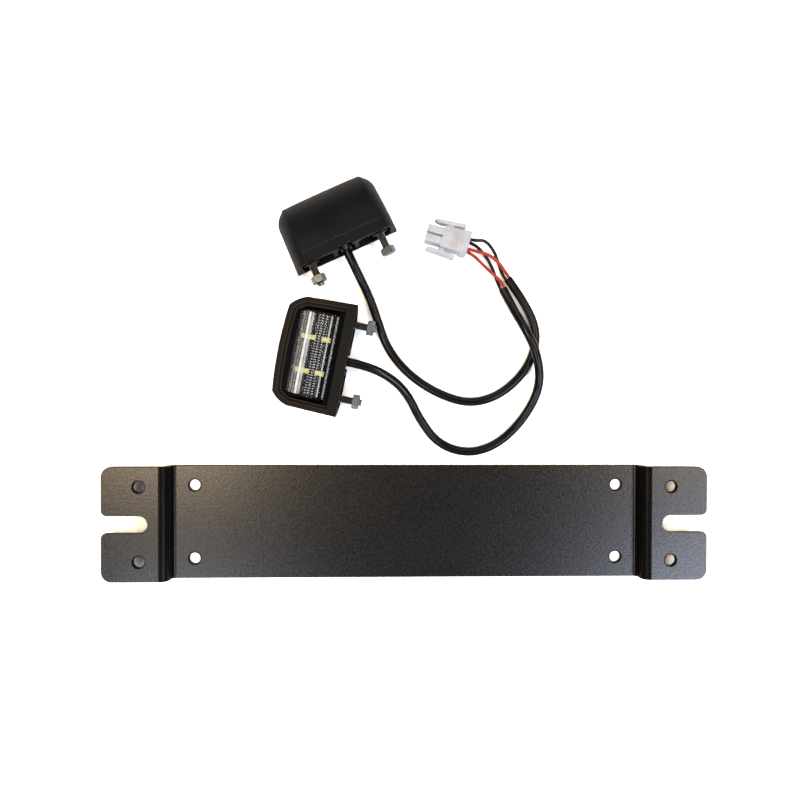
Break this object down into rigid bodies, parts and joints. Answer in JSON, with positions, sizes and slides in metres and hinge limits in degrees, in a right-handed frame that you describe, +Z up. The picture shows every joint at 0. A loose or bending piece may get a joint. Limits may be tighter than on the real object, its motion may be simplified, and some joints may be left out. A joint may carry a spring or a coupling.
{
  "type": "tail tidy",
  "caption": "Cranked black plate bracket with open end slots, and a matching pair of fluted number plate lamps on stud bolts wired to one shared plug",
  "frame": {"origin": "centre of the bracket's flat underside, on the floor the kit is laid on", "axes": "X along the bracket, Y across it towards the lamps, Z up"},
  "size_m": [0.3782, 0.2537, 0.026],
  "materials": {
    "powder_coat": "satin black powder coat on steel sheet",
    "lamp_plastic": "fine spark-textured black moulding",
    "lamp_base_plastic": "fine spark-textured black moulding",
    "clear_lens": "clear fluted moulding, polished",
    "circuit_board": "black solder mask",
    "led_phosphor": "yellow phosphor under clear resin",
    "chip_resistor": "ceramic body with dark glaze",
    "stud_steel": "plain rolled thread, faintly bronze",
    "zinc_nut": "bright zinc plate",
    "bush_rubber": "smooth black rubber",
    "cable_sheath": "glossy black sheath",
    "red_wire": "smooth red insulation",
    "black_wire": "smooth black insulation",
    "plug_nylon": "natural nylon, slightly translucent",
    "plug_contact": "stamped strip, bright"
  },
  "bodies": {
    "root": {"plate_bracket": "powder_coat", "far_lamp_housing": "lamp_plastic", "far_lamp_base": "lamp_base_plastic", "far_lamp_lens": "clear_lens", "far_lamp_board": "circuit_board", "far_lamp_leds": "led_phosphor", "far_lamp_resistors": "chip_resistor", "far_lamp_studs": "stud_steel", "far_lamp_nuts": "zinc_nut", "far_lamp_bush": "bush_rubber", "far_lamp_cable": "cable_sheath", "near_lamp_housing": "lamp_plastic", "near_lamp_base": "lamp_base_plastic", "near_lamp_lens": "clear_lens", "near_lamp_board": "circuit_board", "near_lamp_leds": "led_phosphor", "near_lamp_resistors": "chip_resistor", "near_lamp_studs": "stud_steel", "near_lamp_nuts": "zinc_nut", "near_lamp_bush": "bush_rubber", "near_lamp_cable": "cable_sheath", "far_red_wire": "red_wire", "far_black_wire": "black_wire", "near_red_wire": "red_wire", "near_black_wire": "black_wire", "plug_housing": "plug_nylon", "plug_terminals": "plug_contact"}
  },
  "joints": []
}
